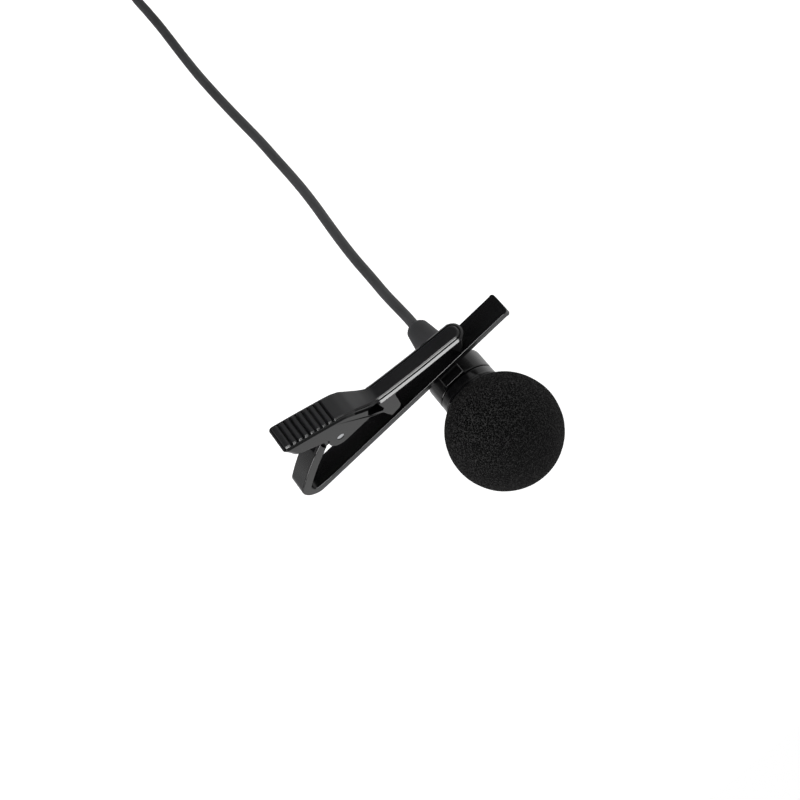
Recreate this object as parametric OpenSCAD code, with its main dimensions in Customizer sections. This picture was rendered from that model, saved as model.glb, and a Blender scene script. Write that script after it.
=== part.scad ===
// Clip-on lavalier microphone: spring clip, collar, electret head, foam windscreen, cord and plug.
// +X runs along the jaws towards their tip, +Y from the plate towards the lever, +Z along the
// microphone towards its foam. The origin is the bite point, on the plate's inner face.

/* [Clip base] */
// Width of the plate and its folded tail, along Z
plate_w = 4.4; // [4.2:0.1:5]
// Thickness of the plate
plate_t = 1.6; // [1.4:0.1:1.6]
// Reach of the plate past the bite point
plate_tip = 9.9; // [7:0.1:12]
// Distance from the bite point back to the centre of the bend
bend_back = 34.6; // [34.6:0.1:36]
// Outer radius of the bend
bend_r = 2.8; // [2.6:0.1:3]
// Thickness of the bend and the tail
tail_t = 1.9; // [1.7:0.1:2]
// Width of the tail, along Z
tail_w = 3.7; // [3.5:0.1:3.9]
// Rise of the tail above the plate, in degrees
tail_rise = 39; // [38:0.5:40]

/* [Lever] */
// Width of the lever's grip, along Z
lever_w = 5.4; // [5.2:0.1:5.6]
// Width of the lever's jaw, along Z
jaw_w = 4; // [3.8:0.1:4.2]
// Thickness of the lever's side walls
cheek_t = 0.6; // [0.5:0.05:0.7]
// Pivot's distance behind the bite point
pivot_back = 23.85; // [23.5:0.05:24.2]
// Pivot's height above the plate's inner face
pivot_up = 9.7; // [9.4:0.05:10]
// Radius of the hinge pin
pin_r = 0.65; // [0.5:0.05:0.75]
// Running clearance around the pin, on the radius
pin_play = 0.05; // [0.03:0.01:0.08]
// Number of finger grooves on the grip
groove_count = 8; // [6:1:9]
// Distance from groove to groove
groove_pitch = 1.05; // [0.9:0.05:1.1]

/* [Collar] */
// Microphone axis: distance behind the bite point
mic_back = 4.7; // [3:0.1:6]
// Microphone axis: depth below the plate's inner face
mic_drop = 7.5; // [7.3:0.1:8]
// Outer radius of the collar
collar_r = 5.5; // [5.4:0.1:5.8]
// Height of the collar, along the microphone
collar_h = 4.6; // [4.4:0.1:4.8]

/* [Microphone] */
// Outer radius of the head
head_r = 5.5; // [5.4:0.05:5.5]
// Radius of the neck that turns inside the collar
neck_r = 4.6; // [4.5:0.05:4.6]
// Radius of the electret capsule
capsule_r = 4.85; // [4.7:0.05:4.85]
// Height of the electret capsule
capsule_h = 6.7; // [6.5:0.1:6.8]

/* [Windscreen] */
// Radius of the foam ball
foam_r = 10.3; // [9.3:0.5:12.3]

/* [Cord and plug] */
// Diameter of the cable
cord_d = 2; // [1.8:0.1:2]
// Radius of the plug's barrel
barrel_r = 3.4; // [3.2:0.1:3.6]
// Length of the plug's barrel
barrel_len = 16; // [14:0.5:18]

/* [Hidden] */
$fn = 48;

// Places of the main axes
pivot = [-pivot_back, pivot_up];
mic = [-mic_back, -mic_drop];
bend = [-bend_back, bend_r - plate_t];

// Points of an arc about a centre, from one angle to another
function arc(centre, r, from, to, n = 8) =
    [for (i = [0 : n]) centre + r * [cos(from + (to - from) * i / n), sin(from + (to - from) * i / n)]];

// ---- clip base ----
tail_dir = [cos(tail_rise), sin(tail_rise)];
tail_out = [-sin(tail_rise), cos(tail_rise)];
tail_start = bend + bend_r * tail_out;
tail_len = 13;
tail_bow = 0.4;
slot_end = 9.2;
slot_w = 1;
shoulder_r = 3.3;
ear_r = 1.9;
ear_in = 0.6;
ear_out = tail_w / 2 - 0.05;
tip_round = 0.6;
boss_w = 4.1;
boss_z = [-2.1, collar_h - 0.6];
collar_z = -0.6;
collar_round = 2.4;
collar_wall = 1.2;
neck_play = 0.05;
stem_r = 3;

// A point of the tail: distance along it, and depth below its bowed outer face
function tail_at(s, depth) =
    tail_start + s * tail_dir
    + (tail_bow * (1 - pow(2 * s / tail_len - 1, 2)) - depth) * tail_out;

// Side outline of the plate, its bend and its tail
function base_outline() = concat(
    [[plate_tip, 0], [plate_tip, -plate_t]],
    arc(bend, bend_r, 270, 90 + tail_rise, 14),
    [for (i = [1 : 8]) tail_at(tail_len * i / 8, 0)],
    [for (i = [8 : -1 : 1]) tail_at(tail_len * i / 8, tail_t)],
    arc(bend, bend_r - tail_t, 90 + tail_rise, 270, 12),
    [[bend[0] + 2, 0]]);

// One flat ear that carries the hinge pin
module ear(low) {
    translate([0, 0, low])
        linear_extrude(ear_out - ear_in)
            union() {
                translate(pivot) circle(r = ear_r);
                polygon([tail_at(tail_len - 2.5, 0.5), tail_at(tail_len + 0.4, 0.65),
                         pivot + ear_r * tail_out, pivot - ear_r * tail_out,
                         tail_at(tail_len - 2.5, tail_t)]);
            }
}

// Square corner piece, with a quarter circle left out of it
module corner_cut(x, z, r, right, up) {
    translate([x, 0, z])
        rotate([90, 0, 0])
            difference() {
                translate([right ? -r : -1, up ? -r : -1, -2])
                    cube([r + 1, r + 1, 4]);
                translate([right ? -r : r, up ? -r : r, -3])
                    cylinder(h = 6, r = r);
            }
}

// Cup that holds the neck of the microphone, rounded at its rear
module collar() {
    rotate_extrude($fn = 64)
        polygon(concat([[stem_r, collar_z]],
                       arc([collar_r - collar_round, collar_z + collar_round], collar_round, 270, 360),
                       [[collar_r, collar_z + collar_h], [neck_r + neck_play, collar_z + collar_h],
                        [neck_r + neck_play, collar_z + collar_wall], [stem_r, collar_z + collar_wall]]));
}

module clip_base() {
    color("#17171a")
    union() {
        difference() {
            translate([0, 0, -plate_w / 2])
                linear_extrude(plate_w)
                    polygon(base_outline());
            corner_cut(plate_tip, plate_w / 2, tip_round, true, true);
            corner_cut(plate_tip, -plate_w / 2, tip_round, true, false);
            translate([pivot[0], pivot[1], -plate_w])
                cylinder(h = 2 * plate_w, r = shoulder_r);
            translate(concat(tail_at(slot_end, 0), 0))
                rotate([0, 0, tail_rise])
                    translate([0, -2 * tail_t, -slot_w / 2])
                        cube([tail_len, 3 * tail_t, slot_w]);
            for (side = [0, 1])
                mirror([0, 0, side])
                    translate(concat(tail_start, tail_w / 2))
                        rotate([0, 0, tail_rise])
                            translate([0, -2 * tail_t, 0])
                                cube([tail_len + 2, 3 * tail_t, plate_w]);
        }
        for (low = [ear_in, -ear_out])
            difference() {
                ear(low);
                translate([pivot[0], pivot[1], -plate_w])
                    cylinder(h = 2 * plate_w, r = pin_r);
            }
        difference() {
            translate([mic[0] - boss_w / 2, mic[1] + neck_r + 0.4, boss_z[0]])
                cube([boss_w, -mic[1] - plate_t - neck_r - 0.4 + 0.2, boss_z[1] - boss_z[0]]);
            translate([mic[0] - boss_w, -plate_t, plate_w / 2])
                cube([2 * boss_w, 2, 4]);
            translate([mic[0], mic[1], collar_z - 2])
                cylinder(h = collar_h + 4, r = neck_r + neck_play);
        }
        translate([mic[0], mic[1], 0])
            collar();
    }
}

// ---- lever ----
cheek_r = 2.25;
lever_tip_r = jaw_w / 2;
jaw_round = [2.5 - lever_tip_r, 4];
tip_rake = 22;
tooth_gap = 0.12;
grip_round = 0.9;
grip_slope = 31.5;
grip_end = -30.3;
flare = [-19.3, -15.8];
groove_r = 0.3;

// Side outline of the lever, clockwise from the top of the grip's end
lever_top = [[-29.4, 19.3], [-21.4, 14.95], [-20, 13.95], [-18.8, 12.5], [-17.7, 10.5], [-16.8, 8.85],
             [-15.9, 7.9], [-14.4, 7.3], [-7.3, 5.75], [-1.4, 4.75], [1.9, 4.1]];
lever_tooth = [[2.4, 3.9], [2.45, 3.5], [1.15, tooth_gap], [-0.7, tooth_gap], [-1.3, 3.4]];
lever_stop = [[-12.8, 5.9], [-14, 1.6], [-14.6, 1], [-16.6, 0.9], [-16.8, 4.4]];
lever_arch = [[-17.7, 5.8], [-18.5, 7.2], [-19.1, 7.45]];
lever_back = [[-29.8, 15.1], [-30.2, 15.8], [-30.3, 18.7], [-30, 19.3]];

function lever_outline() = concat(lever_top, lever_tooth, lever_stop, lever_arch,
                                  arc(pivot, cheek_r, 270, 132), lever_back);

// Room between the side walls, open below
lever_room = [[-28.9, 4], [-28.9, 17.9], [-21.9, 13.6], [-20.8, 12.8], [-19.8, 11.6], [-19.2, 10.3],
              [-19.2, 4]];

// Vertical half-round that finishes one end of the lever in plan
module end_cut(at, r, lean, right, width) {
    translate([at[0], at[1], 0])
        rotate([0, 0, lean])
            difference() {
                translate([right ? 0 : -3, -6, -width])
                    cube([3, 12, 2 * width]);
                rotate([90, 0, 0])
                    for (z = [-width / 2 + r, width / 2 - r])
                        translate([0, z, -7])
                            cylinder(h = 14, r = r);
                if (r < width / 2)
                    translate([-r, -7, -width / 2 + r])
                        cube([2 * r, 14, width - 2 * r]);
            }
}

module clip_lever() {
    color("#1b1b1e")
    difference() {
        translate([0, 0, -lever_w / 2])
            linear_extrude(lever_w)
                polygon(lever_outline());
        translate([0, 0, -lever_w / 2 + cheek_t])
            linear_extrude(lever_w - 2 * cheek_t)
                polygon(lever_room);
        for (side = [0, 1])
            mirror([0, 0, side])
                rotate([90, 0, 0])
                    linear_extrude(48, center = true)
                        polygon([[flare[0], lever_w / 2], [flare[1], jaw_w / 2], [5, jaw_w / 2],
                                 [5, lever_w], [flare[0], lever_w]]);
        end_cut(jaw_round, lever_tip_r, -tip_rake, true, jaw_w);
        end_cut([grip_end + grip_round, 17.2], grip_round, 0, false, lever_w);
        translate([pivot[0], pivot[1], -lever_w])
            cylinder(h = 2 * lever_w, r = pin_r + pin_play);
        for (i = [0 : groove_count - 1])
            translate(lever_top[1] + [-0.25 - i * groove_pitch * cos(grip_slope),
                                      0.3 + i * groove_pitch * sin(grip_slope)])
                cylinder(h = lever_w - 0.7, r = groove_r, center = true, $fn = 24);
    }
}

module hinge_pin() {
    color("#b9bcc0")
    translate([pivot[0], pivot[1], 0])
        cylinder(h = lever_w - 0.2, r = pin_r, center = true);
}

// Coil of the closing spring, and its two legs
wire_r = 0.17;
wire_turns = [-0.32, 0, 0.32];
spring_r = pin_r + 0.1 + wire_r;
tail_leg = [9.5, 5.7];
grip_leg = [-62, 6.6];

// A straight leg: its angle, and its length from the coil
module spring_leg(z, leg) {
    translate([pivot[0], pivot[1], z])
        rotate([0, 0, leg[0]])
            translate([0, spring_r, 0])
                rotate([0, -90, 0])
                    cylinder(h = leg[1], r = wire_r - 0.02);
}

module torsion_spring() {
    color("#a9adb3")
    union() {
        translate([pivot[0], pivot[1], 0])
            rotate_extrude($fn = 64)
                polygon(concat([for (z = wire_turns) each arc([spring_r, z], wire_r, -60, 60, 4)],
                               [for (z = wire_turns) each arc([spring_r, -z], wire_r, 120, 240, 4)]));
        spring_leg(wire_turns[2], grip_leg);
        spring_leg(wire_turns[0], tail_leg);
    }
}

// ---- microphone ----
shoulder_z = collar_z + collar_h + 0.1;
capsule_z = 7;
capsule_top = capsule_z + capsule_h;
head_top = 15;
can_t = 0.3;
cable_r = cord_d / 2;
boot_end = -12;
foam_z = 14.8;

// Puts a turned part on the microphone's axis
module on_mic() {
    translate([mic[0], mic[1], 0])
        children();
}

module disc(low, high, r, bore = 0) {
    translate([0, 0, low])
        difference() {
            cylinder(h = high - low, r = r);
            if (bore > 0)
                translate([0, 0, -1])
                    cylinder(h = high - low + 2, r = bore);
        }
}

module windscreen() {
    color("#3a3a3c")
    on_mic()
        difference() {
            translate([0, 0, foam_z])
                sphere(r = foam_r, $fn = 96);
            translate([0, 0, foam_z - foam_r - 1])
                cylinder(h = foam_r + 1.3, r = head_r + 0.06);
        }
}

module head_shell() {
    color("#101012")
    on_mic()
        rotate_extrude($fn = 64)
            polygon([[stem_r - 0.05, collar_z + collar_wall + 0.1], [neck_r, collar_z + collar_wall + 0.1],
                     [neck_r, shoulder_z], [head_r - 0.3, shoulder_z], [head_r, shoulder_z + 0.3],
                     [head_r, 5.5], [head_r + 0.12, 5.6], [head_r + 0.12, 5.9], [head_r, 6],
                     [head_r, head_top - 0.4], [head_r - 0.4, head_top], [capsule_r + 0.15, head_top],
                     [capsule_r + 0.15, shoulder_z + 1.3], [stem_r - 0.05, shoulder_z + 1.3]]);
}

hole_rings = [[0, 1], [1.5, 6], [3, 12]];

module front_grille() {
    color("#2c2c2f")
    on_mic()
        difference() {
            disc(head_top - 0.6, head_top - 0.1, capsule_r + 0.15);
            for (ring = hole_rings)
                for (i = [0 : ring[1] - 1])
                    rotate([0, 0, 360 * i / ring[1]])
                        translate([ring[0], 0, head_top - 1])
                            cylinder(h = 1.5, r = 0.4, $fn = 16);
        }
}

module acoustic_felt() {
    color("#55555a")
    on_mic()
        disc(capsule_top, head_top - 0.6, capsule_r - 0.1);
}

module capsule_can() {
    color("#c9ccd1")
    on_mic()
        difference() {
            disc(capsule_z, capsule_top, capsule_r);
            disc(capsule_z + 0.25, capsule_top - can_t, capsule_r - can_t);
            disc(capsule_z - 1, capsule_z + 0.5, capsule_r - 0.7);
            for (i = [0 : 2])
                rotate([0, 0, 120 * i])
                    translate([1.6, 0, capsule_top - 1])
                        cylinder(h = 2, r = 0.5, $fn = 16);
        }
}

inner_r = capsule_r - can_t;
ring_low = capsule_top - can_t - 0.5;

module diaphragm_ring() {
    color("#c8a24a")
    on_mic()
        disc(ring_low, capsule_top - can_t, inner_r, inner_r - 0.5);
}

module diaphragm() {
    color("#d9d9de")
    on_mic()
        disc(ring_low - 0.1, ring_low, inner_r);
}

module spacer_ring() {
    color("#e6dcc0")
    on_mic()
        disc(ring_low - 0.3, ring_low - 0.1, inner_r, inner_r - 0.6);
}

plate_low = ring_low - 0.8;

module backplate() {
    color("#caa64e")
    on_mic()
        difference() {
            disc(plate_low, ring_low - 0.3, inner_r - 0.55);
            for (i = [0 : 3])
                rotate([0, 0, 45 + 90 * i])
                    translate([2.2, 0, plate_low - 1])
                        cylinder(h = 3, r = 0.4, $fn = 16);
        }
}

module backplate_holder() {
    color("#e9e6df")
    on_mic()
        difference() {
            disc(capsule_z + 1.05, ring_low - 0.3, inner_r);
            disc(plate_low, ring_low, inner_r - 0.55);
            disc(capsule_z, ring_low, inner_r - 0.85);
        }
}

module contact_ring() {
    color("#c7a550")
    on_mic()
        disc(capsule_z + 1.05, plate_low, inner_r - 0.85, inner_r - 1.15);
}

module fet_chip() {
    color("#202022")
    on_mic()
        translate([-0.8, -0.6, capsule_z + 1.05])
            cube([1.6, 1.2, 0.7]);
}

module capsule_board() {
    color("#2d6b3d")
    on_mic()
        disc(capsule_z + 0.25, capsule_z + 1.05, inner_r);
}

module capsule_gasket() {
    color("#1c1c1c")
    on_mic()
        disc(shoulder_z + 1.3, capsule_z, capsule_r + 0.15, capsule_r - 0.65);
}

// Short wire inside the head, from the cable to the capsule's board
module inner_wire(x) {
    on_mic()
        translate([x, 0, 3.5])
            cylinder(h = capsule_z + 0.25 - 3.5, r = 0.22, $fn = 24);
}

module signal_wire() {
    color("#b03030")
    inner_wire(0.5);
}

module shield_wire() {
    color("#c08040")
    inner_wire(-0.5);
}

module cable_crimp() {
    color("#b8bbc0")
    on_mic()
        disc(2.6, 4.3, cable_r + 0.4, cable_r);
}

// Rubber boot: tapered outside, with a neck that passes the collar into the head
boot_taper = [[1.35, 0], [1.6, 0.12], [1.95, 0.5], [2.15, 1.2], [2.4, 2.6], [2.85, 5], [3.2, 7.6],
              [3.35, 9.6], [3.45, 10.1]];

module strain_boot() {
    color("#232325")
    on_mic()
        rotate_extrude($fn = 48)
            polygon(concat([[cable_r, boot_end]],
                           [for (p = boot_taper) [p[0], boot_end + p[1]]],
                           [[3.45, collar_z - 0.08], [stem_r - 0.05, collar_z - 0.08],
                            [stem_r - 0.05, 2.5], [cable_r, 2.5]]));
}

module cable_core() {
    color("#4a4a4d")
    on_mic()
        disc(boot_end, 3.5, cable_r);
}

// ---- cord ----
floor_z = -130;
coil_turn_r = [7.5, 9.5, 11.5, 13.5];
coil_layers = 4;
coil_in = coil_turn_r[0] - cable_r;
coil_out = coil_turn_r[3] + cable_r;
coil_x = 18;
coil_y = mic[1] + coil_turn_r[3];

// Route of the hanging length: offsets from the microphone's axis, and height
lead_hang = [[0, 0, -12], [0, 0, -14], [-0.15, 0, -17], [-0.35, 0, -21], [-0.35, 0, -26],
             [-0.4, 0, -31], [-0.25, 0, -36], [0.05, 0, -41], [0.4, 0, -46], [0.6, 0, -51],
             [0.6, 0, -56], [0.5, 0, -61], [0.4, 0, -67], [0.1, 0, -73], [-0.2, 0, -79], [-0.4, 0, -85],
             [-0.5, 0, -91], [-0.4, 0, -97], [-0.2, 0, -103], [0, 0, -109], [0, 0, -115], [0, 0, -121]];
// Route along the surface below, from the foot of the bend to the coil
lead_bend_r = 8;
lead_laid = [[3.6, 0, -129], [6.5, 0, -129], [9.5, 0, -129], [12.5, 0, -129]];

lead_route = concat(
    [for (p = lead_hang) [mic[0] + p[0], mic[1] + p[1], p[2]]],
    [for (a = [30, 60])
        [mic[0] + lead_bend_r * (1 - cos(a)), mic[1], -121 - lead_bend_r * sin(a)]],
    [for (p = lead_laid) [p[0], mic[1] + p[1], p[2]]]);

// Route of the short length from the coil's top turn down to the plug
tail_route = [[31.5, 6, -123], [31.5, 9, -123.1], [31.8, 12, -124.2], [32.5, 15, -125.7],
              [33.1, 17.5, -126.5], [33.2, 19, -126.6], [33.2, 21, -126.6]];

function unit(v) = v / norm(v);

// Direction of a route at one of its points
function heading(path, i) =
    unit(path[min(i + 1, len(path) - 1)] - path[max(i - 1, 0)]);

// Points of a ring of the tube, with its first corner turned towards one fixed side
function ring_points(path, i, r, sides, side_ref) =
    let (t = heading(path, i), u = unit(cross(side_ref, t)), v = cross(t, u))
        [for (k = [0 : sides - 1])
            path[i] + r * (cos(360 * k / sides) * u + sin(360 * k / sides) * v)];

// A round tube swept along a route
module tube(path, r, side_ref, sides = 8) {
    rings = len(path);
    points = [for (i = [0 : rings - 1]) each ring_points(path, i, r, sides, side_ref)];
    walls = [for (i = [0 : rings - 2], k = [0 : sides - 1])
        let (a = i * sides + k, b = i * sides + (k + 1) % sides)
            [a, b, b + sides, a + sides]];
    first = [for (k = [sides - 1 : -1 : 0]) k];
    last = [for (k = [0 : sides - 1]) (rings - 1) * sides + k];
    polyhedron(points, concat([[for (k = first) k]], [for (w = walls) w], [last]));
}

module cord_lead() {
    color("#4a4a4d")
    tube(lead_route, cable_r, [0, 1, 0]);
}

module cord_coil() {
    color("#4a4a4d")
    translate([coil_x, coil_y, floor_z])
        rotate_extrude($fn = 64)
            translate([coil_in, 0])
                square([coil_out - coil_in, coil_layers * cord_d]);
}

module cord_tail() {
    color("#4a4a4d")
    tube(tail_route, cable_r, [0, 0, 1]);
}

// Hook-and-loop strap drawn tight around the coil's bundle
tie_w = 6;
tie_t = 0.6;
tie_sag = 0.8;

module cable_tie() {
    color("#1e1e20")
    translate([coil_x - tie_w / 2, coil_y + coil_in - tie_sag, floor_z])
        difference() {
            translate([0, -tie_t, 0])
                cube([tie_w, coil_out - coil_in + tie_sag + 2 * tie_t, coil_layers * cord_d + 2 * tie_t]);
            translate([-1, 0, tie_t])
                cube([tie_w + 2, coil_out - coil_in + tie_sag, coil_layers * cord_d]);
        }
}

// ---- plug ----
plug_at = [33.2, 21, -126.6];
plug_boot_len = 7;
shaft_r = 1.75;
sleeve_len = 6.6;
insulator_len = 0.6;
ring_len = 2;
tip_len = 4.2;
core_r = 0.6;

// Puts a turned part on the plug's axis, which points along +Y
module on_plug(along = 0) {
    translate(plug_at + [0, along, 0])
        rotate([-90, 0, 0])
            children();
}

module plug_boot() {
    color("#232325")
    on_plug()
        rotate_extrude($fn = 48)
            polygon([[0, 0], [1.5, 0], [1.7, 0.2], [2.4, plug_boot_len], [0, plug_boot_len]]);
}

barrel_at = plug_boot_len;
shaft_at = barrel_at + barrel_len;

module plug_barrel() {
    color("#141416")
    on_plug(barrel_at)
        rotate_extrude($fn = 48)
            polygon([[0, 0], [barrel_r - 0.8, 0], [barrel_r, 1], [barrel_r, barrel_len - 1],
                     [barrel_r - 0.4, barrel_len], [0, barrel_len]]);
}

module plug_sleeve() {
    color("#d8b25a")
    on_plug(shaft_at)
        disc(0, sleeve_len, shaft_r, core_r);
}

module plug_ring() {
    color("#d8b25a")
    on_plug(shaft_at + sleeve_len + insulator_len)
        disc(0, ring_len, shaft_r, core_r);
}

tip_at = shaft_at + sleeve_len + ring_len + 2 * insulator_len;

module plug_tip() {
    color("#d8b25a")
    on_plug(tip_at)
        rotate_extrude($fn = 48)
            polygon([[0, 0], [1.5, 0], [1.2, 0.9], [shaft_r, 2], [shaft_r, 2.4], [0.9, tip_len - 0.4],
                     [0.5, tip_len], [0, tip_len]]);
}

// Two washers and the core that carries the contacts
module plug_insulators() {
    color("#121214")
    on_plug(shaft_at)
        union() {
            disc(0, tip_at - shaft_at, core_r);
            disc(sleeve_len, sleeve_len + insulator_len, shaft_r);
            disc(sleeve_len + insulator_len + ring_len, tip_at - shaft_at, shaft_r);
        }
}

clip_base();
clip_lever();
hinge_pin();
torsion_spring();
windscreen();
head_shell();
front_grille();
acoustic_felt();
capsule_can();
diaphragm_ring();
diaphragm();
spacer_ring();
backplate();
backplate_holder();
contact_ring();
fet_chip();
capsule_board();
capsule_gasket();
signal_wire();
shield_wire();
cable_crimp();
strain_boot();
cable_core();
cord_lead();
cord_coil();
cord_tail();
cable_tie();
plug_boot();
plug_barrel();
plug_sleeve();
plug_ring();
plug_tip();
plug_insulators();
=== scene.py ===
import math

import bmesh
import bpy
import numpy as np
from mathutils import Matrix, Vector, noise


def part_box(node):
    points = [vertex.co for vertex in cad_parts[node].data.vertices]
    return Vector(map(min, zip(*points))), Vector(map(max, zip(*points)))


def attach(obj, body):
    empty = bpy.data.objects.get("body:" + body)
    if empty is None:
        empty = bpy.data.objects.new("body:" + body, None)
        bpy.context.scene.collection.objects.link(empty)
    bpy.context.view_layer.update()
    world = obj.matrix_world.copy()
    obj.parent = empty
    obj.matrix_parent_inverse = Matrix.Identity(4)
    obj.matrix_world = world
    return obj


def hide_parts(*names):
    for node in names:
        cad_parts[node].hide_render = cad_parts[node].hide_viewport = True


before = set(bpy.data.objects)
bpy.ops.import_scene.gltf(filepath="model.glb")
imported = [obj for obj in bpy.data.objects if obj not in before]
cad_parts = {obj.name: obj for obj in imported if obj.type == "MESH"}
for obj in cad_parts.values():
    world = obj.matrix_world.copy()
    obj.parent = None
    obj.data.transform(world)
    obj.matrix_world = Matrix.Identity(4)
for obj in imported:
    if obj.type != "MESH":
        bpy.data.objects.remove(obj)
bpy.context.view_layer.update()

MM = 0.001

# Shapes are worked out in millimetres in the frame, and scaled by MM when a mesh is made.
# The frame: +X along the jaws, +Y from the plate to the lever, +Z along the microphone.


def mm_box(node):
    """Lowest and highest corner of a CAD node, in millimetres."""
    low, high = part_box(node)
    return np.array(low) / MM, np.array(high) / MM


def middle(node):
    low, high = mm_box(node)
    return (low + high) / 2


MIC_X, MIC_Y = middle("head_shell")[:2]
PIVOT = middle("hinge_pin")[:2]
FLOOR_Z = mm_box("cord_coil")[0][2]


# ---------------------------------------------------------------- camera

CAMERA_AT = (17.38, 174.53, 85.92)
VIEW_AZIMUTH = 79.80
VIEW_ELEVATION = 25.72
VIEW_ROLL = 141.05
LENS = 51.51


def make_camera():
    az, el = math.radians(VIEW_AZIMUTH), math.radians(VIEW_ELEVATION)
    back = Vector((math.cos(el) * math.cos(az), math.cos(el) * math.sin(az), math.sin(el)))
    right = Vector((0, 0, 1)).cross(back).normalized()
    up = back.cross(right)
    level = Matrix((right, up, back)).transposed()
    turn = level @ Matrix.Rotation(math.radians(VIEW_ROLL), 3, "Z")
    data = bpy.data.cameras.new("camera")
    data.sensor_width = 36
    data.lens = LENS
    data.clip_start = 0.001
    data.clip_end = 50
    camera = bpy.data.objects.new("camera", data)
    camera.matrix_world = Matrix.Translation(Vector(CAMERA_AT) * MM) @ turn.to_4x4()
    bpy.context.scene.collection.objects.link(camera)
    bpy.context.scene.camera = camera


# ---------------------------------------------------------------- shape helpers

def fillet(points, radii, step=8):
    """A polyline with its inner corners rounded. radii is one radius, or one for each inner corner."""
    pts = [np.array(p, float) for p in points]
    if np.isscalar(radii):
        radii = [radii] * (len(pts) - 2)
    out = [pts[0]]
    for i, r in enumerate(radii, 1):
        before, here, after = pts[i - 1], pts[i], pts[i + 1]
        u, v = before - here, after - here
        lu, lv = np.linalg.norm(u), np.linalg.norm(v)
        u, v = u / lu, v / lv
        corner = math.acos(np.clip(u @ v, -1, 1))
        turn = math.pi - corner
        if turn < 1e-3 or r <= 0:
            out.append(here)
            continue
        reach = min(r * math.tan(turn / 2), 0.49 * lu, 0.49 * lv)
        r = reach / math.tan(turn / 2)
        centre = here + (u + v) / np.linalg.norm(u + v) * r / math.sin(corner / 2)
        n = max(2, int(math.degrees(turn) / step) + 1)
        a, b = here + u * reach - centre, here + v * reach - centre
        for k in range(n + 1):
            f = k / n
            out.append(centre + (a * math.sin((1 - f) * turn) + b * math.sin(f * turn)) / math.sin(turn))
    out.append(pts[-1])
    return np.array(out)


def arc(centre, r, start, end, n=12):
    a = np.radians(np.linspace(start, end, n + 1))
    return np.stack([centre[0] + r * np.cos(a), centre[1] + r * np.sin(a)], 1)


def lengths(path):
    return np.concatenate([[0], np.cumsum(np.linalg.norm(np.diff(path, axis=0), axis=1))])


def at(path, s):
    """Points of a polyline at the given distances along it."""
    total = lengths(path)
    return np.stack([np.interp(s, total, path[:, k]) for k in range(path.shape[1])], 1)


def spread(path, n):
    """n points evenly spaced along a polyline, its ends included."""
    return at(path, np.linspace(0, lengths(path)[-1], n))


def side_of(path):
    """Unit vectors square to a 2-D path, to the right of its direction."""
    t = np.gradient(path, axis=0)
    t /= np.maximum(np.linalg.norm(t, axis=1, keepdims=True), 1e-12)
    return np.stack([t[:, 1], -t[:, 0]], 1)


def smoothstep(x):
    x = np.clip(x, 0, 1)
    return x * x * (3 - 2 * x)


def make_mesh(name, verts_mm, faces, finishes=None):
    mesh = bpy.data.meshes.new(name)
    mesh.from_pydata((np.array(verts_mm) * MM).tolist(), [], faces)
    if finishes is not None:
        mesh.polygons.foreach_set("material_index", finishes)
    obj = bpy.data.objects.new(name, mesh)
    bpy.context.scene.collection.objects.link(obj)
    bm = bmesh.new()
    bm.from_mesh(mesh)
    bmesh.ops.remove_doubles(bm, verts=bm.verts, dist=2e-7)
    bmesh.ops.dissolve_degenerate(bm, edges=bm.edges, dist=1e-7)
    bmesh.ops.recalc_face_normals(bm, faces=bm.faces)
    bm.to_mesh(mesh)
    bm.free()
    return obj


def loft(rings, closed=False, caps=True):
    """Vertices and faces of a skin over closed rings that have the same number of points."""
    n = len(rings[0])
    verts = np.concatenate(rings)
    faces = []
    last = len(rings) if closed else len(rings) - 1
    for i in range(last):
        a, b = i * n, (i + 1) % len(rings) * n
        faces += [(a + k, a + (k + 1) % n, b + (k + 1) % n, b + k) for k in range(n)]
    if caps and not closed:
        faces.append(tuple(range(n)))
        faces.append(tuple(range(len(verts) - 1, len(verts) - 1 - n, -1)))
    return verts, faces


def lathe(profile, segments, origin=(MIC_X, MIC_Y)):
    """A closed (radius, height) profile turned about an upright axis, by default the microphone's."""
    r, h = profile[:, 0], profile[:, 1]
    angles = np.linspace(0, 2 * math.pi, segments, endpoint=False)
    return loft([np.stack([origin[0] + r * math.cos(a), origin[1] + r * math.sin(a), h], 1) for a in angles],
                closed=True)


def join_parts(parts):
    """Several (vertices, faces) as one."""
    verts, faces, base = [], [], 0
    for v, f in parts:
        verts.append(v)
        faces += [tuple(base + i for i in face) for face in f]
        base += len(v)
    return np.concatenate(verts), faces


def finish_piece(obj, body, material, sharp=38, replaced=()):
    """Smooth shading with sharp creases kept, the material, and the body that the piece rides on."""
    mesh = obj.data
    mesh.polygons.foreach_set("use_smooth", [True] * len(mesh.polygons))
    mesh.set_sharp_from_angle(angle=math.radians(sharp))
    weighted = obj.modifiers.new("weighted", "WEIGHTED_NORMAL")
    weighted.keep_sharp = True
    mesh.materials.append(material)
    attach(obj, body)
    if replaced:
        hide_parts(*replaced)
    return obj


# ---------------------------------------------------------------- materials

def new_material(name, base, rough, **sockets):
    material = bpy.data.materials.new(name)
    material.use_nodes = True
    shader = material.node_tree.nodes["Principled BSDF"]
    shader.inputs["Base Color"].default_value = (*base, 1)
    shader.inputs["Roughness"].default_value = rough
    for key, value in sockets.items():
        shader.inputs[key.replace("_", " ")].default_value = value
    return material


def add(material, kind, **inputs):
    node = material.node_tree.nodes.new(kind)
    for key, value in inputs.items():
        node.inputs[key.replace("_", " ")].default_value = value
    return node


def link(material, source, target):
    material.node_tree.links.new(source, target)


def object_noise(material, scale, detail=4, rough=0.5):
    """Noise fixed to the object's own coordinates; scale is in cells to a metre."""
    place = add(material, "ShaderNodeTexCoord")
    tex = add(material, "ShaderNodeTexNoise", Scale=scale, Detail=detail, Roughness=rough)
    link(material, place.outputs["Object"], tex.inputs["Vector"])
    return tex


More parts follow.
